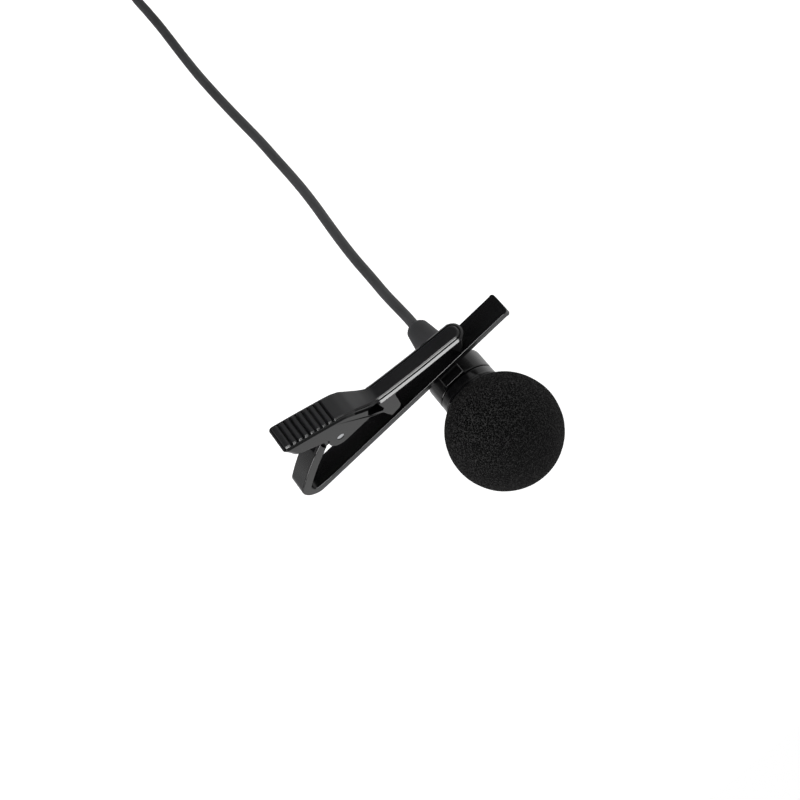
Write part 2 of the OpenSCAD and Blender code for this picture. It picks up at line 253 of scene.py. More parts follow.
def vary_colour(material, tex, dark, light, low=0.35, high=0.65):
    ramp = add(material, "ShaderNodeValToRGB")
    ramp.color_ramp.elements[0].position = low
    ramp.color_ramp.elements[0].color = (*dark, 1)
    ramp.color_ramp.elements[1].position = high
    ramp.color_ramp.elements[1].color = (*light, 1)
    link(material, tex.outputs[0], ramp.inputs["Fac"])
    shader = material.node_tree.nodes["Principled BSDF"]
    link(material, ramp.outputs["Color"], shader.inputs["Base Color"])


def vary_roughness(material, tex, low, high):
    spread_node = add(material, "ShaderNodeMapRange")
    spread_node.inputs["From Min"].default_value = 0.3
    spread_node.inputs["From Max"].default_value = 0.7
    spread_node.inputs["To Min"].default_value = low
    spread_node.inputs["To Max"].default_value = high
    link(material, tex.outputs[0], spread_node.inputs["Value"])
    shader = material.node_tree.nodes["Principled BSDF"]
    link(material, spread_node.outputs["Result"], shader.inputs["Roughness"])


def add_bump(material, tex, strength, depth_mm):
    bump = add(material, "ShaderNodeBump", Strength=strength, Distance=depth_mm * MM)
    link(material, tex.outputs[0], bump.inputs["Height"])
    shader = material.node_tree.nodes["Principled BSDF"]
    link(material, bump.outputs["Normal"], shader.inputs["Normal"])


def moulded(name, base, rough, grain=900, bump=0.15, spread_by=0.06, **sockets):
    """Moulded plastic, rubber or lacquer: a faint grain, and gloss that varies a little."""
    material = new_material(name, base, rough, **sockets)
    broad = object_noise(material, grain / 6, detail=3)
    vary_roughness(material, broad, rough - spread_by, rough + spread_by)
    tone = object_noise(material, grain / 10, detail=2)
    vary_colour(material, tone, [c * 0.88 for c in base], [c * 1.12 for c in base])
    fine = object_noise(material, grain * 8, detail=2)
    add_bump(material, fine, bump, 0.01)
    return material


def metal(name, base, rough, **sockets):
    return moulded(name, base, rough, grain=1500, bump=0.1, spread_by=0.05, Metallic=1.0, **sockets)


def make_foam():
    material = new_material("open_cell_foam", (0.008, 0.008, 0.008), 0.95, Specular_IOR_Level=0.15)
    place = add(material, "ShaderNodeTexCoord")
    cells = add(material, "ShaderNodeTexVoronoi", Scale=4000.0, Randomness=1.0)
    link(material, place.outputs["Object"], cells.inputs["Vector"])
    # Each cell's middle is darkened: painted shade in the pores, with the foam's lighter struts between them.
    vary_colour(material, cells, (0.0002, 0.0002, 0.0002), (0.027, 0.0265, 0.0265), 0.42, 0.78)
    add_bump(material, cells, 1.0, 0.2)
    return material


def make_strap_cloth():
    material = new_material("strap_cloth", (0.03, 0.03, 0.032), 0.9)
    tex = object_noise(material, 4000, detail=5, rough=0.7)
    vary_colour(material, tex, (0.012, 0.012, 0.013), (0.06, 0.06, 0.064))
    add_bump(material, tex, 0.8, 0.12)
    return material


MATERIALS = {
    "clip_gloss": moulded("clip_gloss", (0.0045, 0.0045, 0.005), 0.16, spread_by=0.03, bump=0.04),
    "clip_satin": moulded("clip_satin", (0.0085, 0.0085, 0.0095), 0.36),
    # Near-black and matte: painted shade for the walls of the lever's side hollow, darker and duller than the
    # clip's own plastic.
    "hollow": moulded("hollow_painted_shade", (0.001, 0.001, 0.001), 0.9, bump=0.3),
    "head": moulded("head_lacquer", (0.004, 0.004, 0.0045), 0.14, spread_by=0.03, bump=0.03),
    "foam": make_foam(),
    "boot": moulded("boot_rubber", (0.026, 0.026, 0.028), 0.62, bump=0.3),
    "cable": moulded("cable_jacket", (0.036, 0.036, 0.038), 0.55, grain=1600, bump=0.35),
    "steel": metal("bright_steel", (0.60, 0.61, 0.63), 0.22),
    "can": metal("drawn_can", (0.75, 0.76, 0.78), 0.3),
    "grille": metal("etched_grille", (0.05, 0.05, 0.055), 0.45),
    "gold": metal("gold_plate", (0.86, 0.63, 0.28), 0.18),
    "film": metal("metal_film", (0.85, 0.85, 0.88), 0.1),
    "spacer": moulded("spacer_film", (0.80, 0.70, 0.45), 0.35),
    "holder": moulded("ivory_holder", (0.80, 0.77, 0.70), 0.5),
    "board": moulded("solder_mask", (0.03, 0.19, 0.07), 0.3),
    "chip": moulded("chip_epoxy", (0.02, 0.02, 0.02), 0.55),
    "felt": moulded("acoustic_felt", (0.10, 0.10, 0.11), 0.95, grain=2500, bump=0.9),
    "wire_red": moulded("red_insulation", (0.45, 0.04, 0.035), 0.4),
    "copper": metal("bare_copper", (0.72, 0.36, 0.20), 0.3),
    "plug": moulded("plug_shell", (0.012, 0.012, 0.013), 0.3),
    "insulator": moulded("plug_insulator", (0.01, 0.01, 0.01), 0.3),
    "strap": make_strap_cloth(),
}

CAD_FINISH = {
    "hinge_pin": "steel", "torsion_spring": "steel", "front_grille": "grille", "acoustic_felt": "felt",
    "capsule_can": "can", "diaphragm_ring": "gold", "diaphragm": "film", "spacer_ring": "spacer",
    "backplate": "gold", "backplate_holder": "holder", "contact_ring": "gold", "fet_chip": "chip",
    "capsule_board": "board", "capsule_gasket": "boot", "signal_wire": "wire_red",
    "shield_wire": "copper", "cable_crimp": "steel", "cable_core": "cable",
    "plug_sleeve": "gold", "plug_ring": "gold", "plug_tip": "gold", "plug_insulators": "insulator",
}


def finish_cad_nodes():
    for node, key in CAD_FINISH.items():
        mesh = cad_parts[node].data
        mesh.materials.clear()
        mesh.materials.append(MATERIALS[key])


# ---------------------------------------------------------------- cord

CORD_R = (mm_box("cable_core")[1][0] - mm_box("cable_core")[0][0]) / 2
COIL_CENTRE = middle("cord_coil")[:2]
COIL_OUT = (mm_box("cord_coil")[1][0] - mm_box("cord_coil")[0][0]) / 2
COIL_TURN_R = [COIL_OUT - CORD_R - 2 * CORD_R * k for k in range(4)]
COIL_LAYERS = 4
TIE_LIFT = 0.6
TIE_W = 6

# Hanging length: offset from the microphone's axis along X, and height
LEAD_HANG = [(0, -12), (0, -14), (-0.15, -17), (-0.35, -21), (-0.35, -26), (-0.4, -31), (-0.25, -36),
             (0.05, -41), (0.4, -46), (0.6, -51), (0.6, -56), (0.5, -61), (0.4, -67), (0.1, -73),
             (-0.2, -79), (-0.4, -85), (-0.5, -91), (-0.4, -97), (-0.2, -103), (0, -109), (0, -115),
             (0, -121)]
LEAD_BEND_R = 8
LEAD_LAID_X = [3.6, 6.5, 9.5, 12.5]
TAIL = [(31.5, 9, -123.1), (31.8, 12, -124.2), (32.5, 15, -125.7), (33.1, 17.5, -126.5),
        (33.2, 19, -126.6), (33.2, 21, -126.6)]


def coil_points(per_turn=48, shift=40):
    """Turns that run inwards on one layer and outwards on the next, each changing over in `shift` degrees."""
    order = []
    for layer in range(COIL_LAYERS):
        radii = COIL_TURN_R if layer % 2 == 0 else COIL_TURN_R[::-1]
        order += [(r, layer) for r in radii]
    points = []
    total = int((len(order) + 0.25) * per_turn)
    for k in range(total + 1):
        turned = k / per_turn
        i = min(int(turned), len(order) - 1)
        r, layer = order[i]
        into = (turned - i) * 360 - (360 - shift)
        if into > 0 and i + 1 < len(order):
            f = smoothstep(into / shift)
            r += (order[i + 1][0] - r) * f
            layer += (order[i + 1][1] - layer) * f
        a = math.radians(-90 + 360 * turned)
        off_tie = abs((math.degrees(a) - 90 + 180) % 360 - 180) * math.radians(1) * 10
        lift = TIE_LIFT * (1 - smoothstep((off_tie - TIE_W / 2) / 3.5))
        points.append((COIL_CENTRE[0] + r * math.cos(a), COIL_CENTRE[1] + r * math.sin(a),
                       FLOOR_Z + CORD_R * (2 * layer + 1) + lift))
    return points


def smooth_route(points, step):
    """A Catmull-Rom curve through the points, about `step` apart."""
    p = [np.array(q, float) for q in points]
    p = [2 * p[0] - p[1]] + p + [2 * p[-1] - p[-2]]
    out = []
    for i in range(1, len(p) - 2):
        n = max(1, int(np.linalg.norm(p[i + 1] - p[i]) / step))
        for k in range(n):
            t = k / n
            out.append(0.5 * (2 * p[i] + (p[i + 1] - p[i - 1]) * t
                              + (2 * p[i - 1] - 5 * p[i] + 4 * p[i + 1] - p[i + 2]) * t ** 2
                              + (3 * p[i] - p[i - 1] - 3 * p[i + 1] + p[i + 2]) * t ** 3))
    out.append(p[-2])
    return np.array(out)


def cord_route():
    lead = [(MIC_X + x, MIC_Y, z) for x, z in LEAD_HANG]
    foot = LEAD_HANG[-1][1]
    lead += [(MIC_X + LEAD_BEND_R * (1 - math.cos(a)), MIC_Y, foot - LEAD_BEND_R * math.sin(a))
             for a in map(math.radians, (30, 60))]
    lead += [(x, MIC_Y, FLOOR_Z + CORD_R) for x in LEAD_LAID_X]
    return smooth_route(lead + coil_points() + TAIL, 1.0)


def make_cord():
    route = cord_route()
    curve = bpy.data.curves.new("cord", "CURVE")
    curve.dimensions = "3D"
    spline = curve.splines.new("POLY")
    spline.points.add(len(route) - 1)
    spline.points.foreach_set("co", np.c_[route * MM, np.ones(len(route))].ravel())
    curve.bevel_depth = CORD_R * MM
    curve.bevel_resolution = 6
    curve.use_fill_caps = True
    curve.materials.append(MATERIALS["cable"])
    cord = bpy.data.objects.new("cord", curve)
    bpy.context.scene.collection.objects.link(cord)
    spline.use_smooth = True
    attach(cord, "microphone")
    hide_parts("cord_lead", "cord_coil", "cord_tail")


def make_tie():
    """Hook-and-loop strap: one soft-cornered band round the bundle."""
    low, high = mm_box("cable_tie")
    y0, y1, z0, z1 = low[1], high[1], low[2], high[2]
    thick = TIE_LIFT
    ring = fillet([((y0 + y1) / 2, z0), (y1, z0), (y1, z1), (y0, z1), (y0, z0), ((y0 + y1) / 2, z0)], 1.8, 6)
    ring = spread(ring, 121)[:-1]
    middle_line = ring - side_of(np.vstack([ring, ring[:1]]))[:-1] * thick / 2

    width = high[0] - low[0]
    section = fillet([(0, -thick / 2), (width, -thick / 2), (width, thick / 2), (0, thick / 2),
                      (0, -thick / 2)], 0.2, 20)[:-1]
    loop = np.vstack([middle_line, middle_line[:1]])
    rings = [np.stack([low[0] + section[:, 0], p[0] + n[0] * section[:, 1], p[1] + n[1] * section[:, 1]], 1)
             for p, n in zip(loop, side_of(loop))]
    obj = make_mesh("cable_tie_strap", *loft(rings[:-1], closed=True))
    finish_piece(obj, "microphone", MATERIALS["strap"], replaced=["cable_tie"])
    return obj


def on_plug(profile, name, material, replaced, segments=72):
    """A turned piece on the plug's axis, which points along +Y; heights start at the plug's rear."""
    base = middle("plug_boot")
    start = mm_box("plug_boot")[0][1]
    verts, faces = lathe(profile, segments, (0, 0))
    turned = np.stack([verts[:, 0] + base[0], start + verts[:, 2], -verts[:, 1] + base[2]], 1)
    obj = make_mesh(name, turned, faces)
    return finish_piece(obj, "microphone", MATERIALS[material], replaced=replaced)


def make_plug():
    boot_len = mm_box("plug_boot")[1][1] - mm_box("plug_boot")[0][1]
    low, high = mm_box("plug_barrel")
    barrel_len, barrel_r = high[1] - low[1], (high[0] - low[0]) / 2
    ribs = []
    for k in range(5):
        h = 1.0 + k * 1.05
        r = 1.7 + 0.7 * h / boot_len
        ribs += [(r, h), (r - 0.3, h + 0.12), (r - 0.3, h + 0.4), (r + 0.06, h + 0.52)]
    bore_r = CORD_R * 0.6
    boot = fillet([(CORD_R, 0), (1.5, 0)] + ribs
                  + [(2.4, boot_len), (bore_r, boot_len), (bore_r, 0.4), (CORD_R, 0)], 0.1, 20)
    boot_piece = on_plug(boot[:-1], "plug_strain_relief", "boot", ["plug_boot"])
    grooves = []
    for k in range(6):
        h = boot_len + 4.5 + k * 1.1
        grooves += [(barrel_r, h), (barrel_r - 0.25, h + 0.15), (barrel_r - 0.25, h + 0.4),
                    (barrel_r, h + 0.55)]
    end = boot_len + barrel_len
    shell = fillet([(0.4, boot_len), (barrel_r - 0.8, boot_len), (barrel_r, boot_len + 1.2)] + grooves
                   + [(barrel_r, end - 0.9), (barrel_r - 0.4, end), (0.4, end), (0.4, boot_len)], 0.2, 15)
    shell_piece = on_plug(shell[:-1], "plug_shell", "plug", ["plug_barrel"], 96)
    return [boot_piece, shell_piece]


make_camera()
finish_cad_nodes()
plug_contacts = [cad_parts[n] for n in ("plug_sleeve", "plug_ring", "plug_tip", "plug_insulators")]
plug_pieces = make_plug() + plug_contacts
tie = make_tie()
make_cord()


# ---------------------------------------------------------------- lever

GRIP_HALF_W = mm_box("clip_lever")[1][2]
JAW_HALF_W = 2.0
CHEEK_IN = 1.3
FLARE_X = (-19.2, -16.0)
LEAN = math.radians(-22)
LEAN_X = np.array([math.cos(LEAN), math.sin(LEAN)])
TIP_CENTRE = np.array([0.45, 4.0])
TIP_FLAT = 0.06
GRIP_END_X = -30.3
GRIP_CORNER_R = 0.9
TOOTH_Y = 0.12
CHEEK_R = 2.25
PIN_HOLE_R = 0.7

# Top of the lever from the grip's end to the jaw's tip, and the radius of each bend in it
TOP_POINTS = [(-31.5, 19.9), (-29.3, 19.1), (-25.3, 16.85), (-21.5, 14.6), (-20, 13.6), (-18.75, 12.2),
              (-17.7, 10.4), (-16.75, 8.85), (-15.7, 7.75), (-13.1, 7.05), (-7.3, 5.75), (-1.4, 4.75),
              (4, 3.7)]
TOP_RADII = [3, 20, 8, 3.5, 5, 12, 12, 3, 4, 30, 30]
TOP = fillet(TOP_POINTS, TOP_RADII, 2)

LEDGE_W = 0.62
LEDGE_DROP = 0.3
LEDGE_EDGE = 0.34
SHOULDER_W = 0.26
GRIP_RIM = 0.4
END_RIM = 1.5
RIB_COUNT = 8
RIB_PITCH = 1.12
RIB_FIRST = 1.75
RIB_DEEP = 0.45
RIB_NOTCH = 0.27
RIB_END_FADE = 0.12


def cut_at(path, direction, origin, value):
    """Distance along a path at which its coordinate along `direction` from `origin` first reaches `value`."""
    along = (path - origin) @ direction
    total = lengths(path)
    i = int(np.argmax(along >= value))
    f = (value - along[i - 1]) / (along[i] - along[i - 1])
    return total[i - 1] + f * (total[i] - total[i - 1])


def tip_reach(z):
    """How far the half-round tip reaches past its centre at a height across the width."""
    return math.sqrt(JAW_HALF_W ** 2 - min(abs(z), JAW_HALF_W - TIP_FLAT) ** 2)


def end_x(z):
    """Where the grip's end wall stands at a height across the width: flat, with round corners."""
    past = max(0, min(abs(z), JAW_HALF_W - 0.04) - (JAW_HALF_W - GRIP_CORNER_R))
    return GRIP_END_X + GRIP_CORNER_R - math.sqrt(GRIP_CORNER_R ** 2 - past ** 2)


TOP_START = cut_at(TOP, np.array([1.0, 0.0]), np.zeros(2), GRIP_END_X)
TOP_LENGTH = cut_at(TOP, LEAN_X, TIP_CENTRE, JAW_HALF_W) - TOP_START


def rim_distance(s, z):
    """Distance from the lever's outline in plan, at distance s from the grip's end and height z."""
    z = abs(z)
    d = np.full_like(s, JAW_HALF_W - z)
    past = s - (TOP_LENGTH - JAW_HALF_W)
    d = np.where(past > 0, JAW_HALF_W - np.hypot(past, z), d)
    s = s * END_RIM
    short = GRIP_CORNER_R - s
    inset = max(0, z - (JAW_HALF_W - GRIP_CORNER_R))
    d = np.where(short > 0, np.minimum(d, GRIP_CORNER_R - np.hypot(short, inset)), d)
    return np.maximum(d, 0)


def top_drop(s, z):
    """How far the top lies below its outline: a bevelled ledge all round a raised, ribbed panel."""
    d = rim_distance(s, z)
    ledge = LEDGE_DROP + LEDGE_EDGE * np.clip(1 - d / LEDGE_EDGE, 0, 1)
    up = np.clip((d - LEDGE_W) / SHOULDER_W, 0, 1)
    drop = np.where(d < LEDGE_W, ledge, LEDGE_DROP * (1 - up))
    phase = (s - RIB_FIRST) / RIB_PITCH
    beside = np.abs(phase - np.round(phase))
    on_pad = (phase > -0.5) & (phase < RIB_COUNT - 0.5)
    notch = smoothstep(1 - beside / RIB_NOTCH) * on_pad
    inside = smoothstep((d - LEDGE_W) / RIB_END_FADE)
    return drop + RIB_DEEP * notch * inside


def widened(x, z):
    """A height of the jaw, moved outward where the grip is wider: the rim widens less than the panel."""
    at_grip = np.interp(abs(z), (0, JAW_HALF_W - LEDGE_W - SHOULDER_W, JAW_HALF_W - LEDGE_W, JAW_HALF_W),
                        (0, GRIP_HALF_W - GRIP_RIM - SHOULDER_W, GRIP_HALF_W - GRIP_RIM, GRIP_HALF_W))
    past = np.clip((FLARE_X[1] - x) / (FLARE_X[1] - FLARE_X[0]), 0, 1)
    return math.copysign(1, z) * (abs(z) + (at_grip - abs(z)) * past)


def top_stations(z):
    """Distances along the top, from the grip's end, at which it gets a point."""
    s_end = cut_at(TOP, LEAN_X, TIP_CENTRE, tip_reach(z)) - TOP_START
    s_begin = cut_at(TOP, np.array([1.0, 0.0]), np.zeros(2), end_x(z)) - TOP_START
    pad_end = RIB_FIRST + RIB_COUNT * RIB_PITCH
    near_end = s_begin + 0.9 * np.linspace(0, 1, 14, endpoint=False) ** 1.3
    pad = np.linspace(s_begin + 0.9, pad_end, 130, endpoint=False)
    long_run = np.linspace(pad_end, s_end - 1.0, 110, endpoint=False)
    near_tip = s_end - 1.0 * np.linspace(1, 0, 18) ** 1.3
    return np.concatenate([near_end, pad, long_run, near_tip])


def top_line(z):
    s = top_stations(z)
    line = at(TOP, s + TOP_START)
    return line + side_of(line) * top_drop(s, z)[:, None]


EDGE_R = 0.16


def edge_inset(z, half_w, r):
    """How far an outline draws in, near a side face, to round the edge."""
    past = max(0, abs(z) - (half_w - r))
    return r - math.sqrt(max(0, r * r - past * past))


def pulled_in(line, inset, ease=0.25):
    """The line moved towards the solid, which is on its right, except at its two ends."""
    total = lengths(line)
    f = np.minimum(total, total[-1] - total) / ease
    return line + side_of(line) * (inset * np.clip(f, 0, 1))[:, None]


def under_start(z):
    """Lower front corner of the jaw's tooth."""
    x = TIP_CENTRE[0] + (tip_reach(z) - LEAN_X[1] * (TOOTH_Y - TIP_CENTRE[1])) / LEAN_X[0]
    return np.array([x, TOOTH_Y])


STOP_POINTS = [(-0.7, TOOTH_Y), (-1.35, 3.7), (-12.9, 6.05), (-13.95, 1.65), (-14.6, 1.0), (-16.6, 0.9),
               (-16.8, 4.4), (-17.7, 5.8), (-18.5, 7.2), (-19.3, 7.45)]
STOP_RADII = [0.12, 0.5, 0.5, 0.5, 0.4, 2, 2, 0.6]
REAR_N = 150


def under_front(z):
    """From the tooth's lower front corner, along the jaw, round the stop web, to the front of the cheeks."""
    start = under_start(z)
    line = fillet([tuple(start)] + STOP_POINTS, [0.15] + STOP_RADII, 10)
    return spread(line, 190)


def cheek_line(z):
    """Lower edge of a side wall: round the pivot, then up to the grip's end."""
    end = (end_x(z) + 0.45, 15.15)
    disc = arc(PIVOT, CHEEK_R, 270, 132, 24)
    line = np.vstack([[(-19.3, PIVOT[1] - CHEEK_R)], disc, [end]])
    return spread(line, REAR_N)


def room_line(z):
    """Walls of the room between the cheeks, with the same ends as the cheek line."""
    end = (end_x(z) + 0.45, 15.15)
    line = fillet([(-19.3, PIVOT[1] - CHEEK_R), (-19.35, 10.4), (-19.8, 11.6), (-20.8, 12.8), (-21.9, 13.6),
                   (-28.9, 17.9), (-28.95, 15.4), end], [0.5, 1, 2, 2, 0.5, 0.15], 10)
    return spread(line, REAR_N)


def end_wall(z, top_point):
    x = end_x(z)
    line = fillet([(x + 0.45, 15.15), (x + 0.05, 15.85), (x, 17.5), tuple(top_point)], [0.5, 6], 10)
    return spread(line, 24)


def lever_ring(z, open_room):
    top = top_line(z)
    tip = spread(np.array([top[-1], under_start(z)]), 16)
    inset = edge_inset(z, JAW_HALF_W, EDGE_R)
    front = pulled_in(under_front(z), inset)
    rear = room_line(z) if open_room else pulled_in(cheek_line(z), inset)
    wall = end_wall(z, top[0])
    outline = np.vstack([top, tip[1:], front[1:], rear[1:], wall[1:-1]])
    return np.c_[outline, widened(outline[:, 0], z)]


# Side hollow between the cheek and the stop web, and the depth across the width at which it ends
HOLLOW = [(-17.6, 9.25), (-18.35, 8.2), (-18.15, 7.4), (-17.3, 6.2), (-16.5, 4.9), (-16.05, 5.2),
          (-15.95, 7.6), (-16.6, 8.15)]
HOLLOW_FLOOR = 0.9


def cut_tool(name, outline, low, high):
    rings = [np.c_[np.array(outline), np.full(len(outline), z)] for z in (low, high)]
    tool = make_mesh(name, *loft(rings))
    # The tool carries the near-black matte material, painted shade meant for the walls of the hollow it cuts.
    tool.data.materials.append(MATERIALS["hollow"])
    return tool


def make_lever():
    w = JAW_HALF_W
    rim = [w - LEDGE_EDGE * f for f in (0, 0.04, 0.3, 0.6, 0.96, 1)]
    step = [w - LEDGE_W - SHOULDER_W * f for f in (-0.04, 0, 0.04, 0.3, 0.6, 0.96, 1)]
    outer = sorted(set(rim + step) | {CHEEK_IN}, reverse=True)
    panel = [1.05, 0.9, 0.6, 0.3]
    walls = [(h, False) for h in outer if h >= CHEEK_IN] + [(CHEEK_IN, True)]
    walls += [(h, True) for h in outer if h < CHEEK_IN] + [(h, True) for h in panel]
    walls = [(-h, room) for h, room in walls] + walls[::-1]
    rings = [lever_ring(z, room) for z, room in walls]
    verts, faces = loft(rings)
    satin = np.zeros(len(faces), int)
    for i, ((z0, _), (z1, _)) in enumerate(zip(walls, walls[1:])):
        z = (z0 + z1) / 2
        s = top_stations(z)
        on_panel = rim_distance((s[1:] + s[:-1]) / 2, z) > LEDGE_W + SHOULDER_W * 0.3
        satin[i * len(rings[0]):i * len(rings[0]) + len(s) - 1] = on_panel
    lever = make_mesh("lever_moulding", verts, faces, satin)
    lever.data.materials.append(MATERIALS["clip_gloss"])
    hollow = cut_tool("hollow_tool", HOLLOW, HOLLOW_FLOOR, GRIP_HALF_W + 1)
    other = cut_tool("other_hollow_tool", HOLLOW, -GRIP_HALF_W - 1, -HOLLOW_FLOOR)
    pin_hole = np.array([(0.0, -3.0), (PIN_HOLE_R, -3.0), (PIN_HOLE_R, 3.0), (0.0, 3.0)])
    bore = make_mesh("bore_tool", *lathe(pin_hole, 48, PIVOT))
    for tool in (bore, hollow, other):
        cut = lever.modifiers.new(tool.name, "BOOLEAN")
        cut.operation, cut.solver, cut.object = "DIFFERENCE", "EXACT", tool
    apply_modifiers(lever)
    for tool in (bore, hollow, other):
        bpy.data.objects.remove(tool)
    return finish_piece(lever, "lever", MATERIALS["clip_satin"], replaced=["clip_lever"])


def apply_modifiers(obj):
    bpy.context.view_layer.update()
    depsgraph = bpy.context.evaluated_depsgraph_get()
    mesh = bpy.data.meshes.new_from_object(obj.evaluated_get(depsgraph))
    obj.modifiers.clear()
    old, obj.data = obj.data, mesh
    bpy.data.meshes.remove(old)


make_lever()


# ---------------------------------------------------------------- clip base

BASE_HALF_W = mm_box("clip_base")[0][2] * -1
PLATE_T = 1.6
PLATE_TIP = mm_box("clip_base")[1][0]
BEND = np.array([-34.6, 1.2])
BEND_R = 2.8
TAIL_T = 1.9
TAIL_HALF_W = 1.85
TAIL_RISE = 39
TAIL_LEN = 13
TAIL_BOW = 0.4
SHOULDER_R = 3.3
EAR_R = 1.9
EAR_Z = (0.6, 1.5)
SLOT_END = 9.2
SLOT_HALF = 0.5
BASE_EDGE_R = 0.24
TIP_CORNER_R = 0.6
NOSE_R = 0.1
STEM_R = 3.0
HEAD_R = 5.5
COLLAR_BORE_R = 4.65
COLLAR_H = 4.6
BOSS_HALF_W = 2.05


def tail_at(s, depth):
    """A point of the tail: distance along it, and depth below its bowed outer face."""
    rise = math.radians(TAIL_RISE)
    along = np.array([math.cos(rise), math.sin(rise)])
    out = np.array([-along[1], along[0]])
    bow = TAIL_BOW * (1 - (2 * s / TAIL_LEN - 1) ** 2)
    return BEND + BEND_R * out + s * along + (bow - depth) * out


def shoulder_s(depth):
    """How far along the tail its full width ends, at a depth."""
    s = np.linspace(8, TAIL_LEN, 400)
    gap = np.array([np.linalg.norm(tail_at(v, depth) - PIVOT) for v in s])
    return s[int(np.argmax(gap < SHOULDER_R))]


def tail_end(kind):
    """The tail's end from its inner face to its outer face: round shoulder, ear or slot."""
    if kind == "slot":
        line = np.array([tail_at(SLOT_END, TAIL_T), tail_at(SLOT_END, 0)])
    elif kind == "ear":
        disc = arc(PIVOT, EAR_R, TAIL_RISE - 90, TAIL_RISE + 90, 30)
        line = np.vstack([[tail_at(SLOT_END, TAIL_T)], disc, [tail_at(TAIL_LEN - 0.2, 0.6)],
                          [tail_at(SLOT_END, 0)]])
    else:
        inner, outer = tail_at(shoulder_s(TAIL_T), TAIL_T), tail_at(shoulder_s(0), 0)
        a0 = math.degrees(math.atan2(*(inner - PIVOT)[::-1])) % 360
        a1 = math.degrees(math.atan2(*(outer - PIVOT)[::-1])) % 360
        shoulder = arc(PIVOT, SHOULDER_R, a0, a1, 12)
        line = np.vstack([[tail_at(SLOT_END, TAIL_T)], shoulder, [tail_at(SLOT_END, 0)]])
    return spread(line, 80)


def plate_end_x(z):
    past = max(0, min(abs(z), BASE_HALF_W - 0.03) - (BASE_HALF_W - TIP_CORNER_R))
    return PLATE_TIP - TIP_CORNER_R + math.sqrt(TIP_CORNER_R ** 2 - past ** 2)


def narrowing(points, z):
    """The tail is narrower than the plate: outside the ears, heights shrink round the bend."""
    turned = np.degrees(np.arctan2(points[:, 1] - BEND[1], points[:, 0] - BEND[0])) % 360
    on_tail = smoothstep((270 - turned) / 120)
    return 1 + (TAIL_HALF_W / BASE_HALF_W - 1) * on_tail * (abs(z) > SLOT_HALF + 0.01)


def base_ring(z, kind):
    x = plate_end_x(z)
    inset = edge_inset(z, BASE_HALF_W, BASE_EDGE_R)
    inner_arc = arc(BEND, BEND_R - TAIL_T, 270, 90 + TAIL_RISE, 24)
    inner_tail = np.array([tail_at(s, TAIL_T) for s in np.linspace(0, SLOT_END, 16)[1:]])
    inner = np.vstack([[(x - 0.1, 0)], [(-32, 0)], inner_arc, inner_tail])
    outer_tail = np.array([tail_at(s, 0) for s in np.linspace(SLOT_END, 0, 16)[:-1]])
    outer_arc = arc(BEND, BEND_R, 90 + TAIL_RISE, 270, 36)
    outer = np.vstack([outer_tail, outer_arc, [(x - 0.1, -PLATE_T)]])
    inner = pulled_in(spread(inner, 170), -inset, 0.01)
    outer = pulled_in(spread(outer, 170), -inset, 0.01)
    end = tail_end(kind)
    end = pulled_in(end, -inset, 0.3)
    end[0], end[-1] = inner[-1], outer[0]
    nose = fillet([tuple(outer[-1]), (x, outer[-1][1]), (x, inner[0][1]), tuple(inner[0])], NOSE_R, 15)
    nose = spread(nose, 16)
    outline = np.vstack([inner, end[1:-1], outer, nose[1:-1]])
    return np.c_[outline, z * narrowing(outline, z)]


def rounded_block(low, high, r, n=4):
    """A box with rounded edges and corners, as vertices and faces."""
    low, high = np.array(low, float), np.array(high, float)
    bm = bmesh.new()
    bmesh.ops.create_cube(bm, size=1)
    for v in bm.verts:
        v.co = Vector((low + high) / 2 + np.array(v.co) * (high - low))
    bmesh.ops.bevel(bm, geom=bm.edges, offset=r, segments=n, profile=0.5, affect="EDGES")
    verts = np.array([v.co for v in bm.verts])
    faces = [tuple(v.index for v in f.verts) for f in bm.faces]
    bm.free()
    return verts, faces


def make_base():
    w = BASE_HALF_W
    edge = [w - BASE_EDGE_R * f for f in (0, 0.02, 0.08, 0.17, 0.3, 0.48, 0.72, 1)]
    edge += [w - TIP_CORNER_R * f for f in (0.55, 0.75, 1)]
    steps = [(h, "shoulder") for h in edge]
    steps += [(EAR_Z[1], "shoulder"), (EAR_Z[1], "ear"), (EAR_Z[0], "ear"), (EAR_Z[0], "shoulder"),
              (SLOT_HALF, "shoulder"), (SLOT_HALF, "slot")]
    rings = [base_ring(-h, kind) for h, kind in steps] + [base_ring(h, kind) for h, kind in steps[::-1]]
    strip = loft(rings)

    front_z = mm_box("clip_base")[1][2]
    rear_z = front_z - COLLAR_H
    profile = fillet([(STEM_R, 0.0), (STEM_R, rear_z), (HEAD_R, rear_z), (HEAD_R, front_z),
                      (COLLAR_BORE_R, front_z), (COLLAR_BORE_R, 0.0), (STEM_R, 0.0)],
                     [0.12, 2.35, 0.22, 0.1, 0.1], 8)[:-1]
    collar = lathe(profile, 128)
    left, right = MIC_X - BOSS_HALF_W, MIC_X + BOSS_HALF_W
    boss = rounded_block((left, MIC_Y + 5.0, -w), (right, -PLATE_T + 0.25, w - 0.02), 0.22)
    boss_front = rounded_block((left, MIC_Y + 4.75, -w), (right, -PLATE_T, front_z), 0.3)
    obj = make_mesh("clip_base_moulding", *join_parts([strip, collar, boss, boss_front]))
    return finish_piece(obj, "clip", MATERIALS["clip_gloss"], replaced=["clip_base"])


make_base()


# ---------------------------------------------------------------- microphone

NECK_R = 4.6
RING_R = 5.61
HEAD_BORE_R = 5.0
BOOT_BORE_R = 2.95
BOOT_SHOULDER_Z = -0.68
BOOT_TOP_Z = 2.5


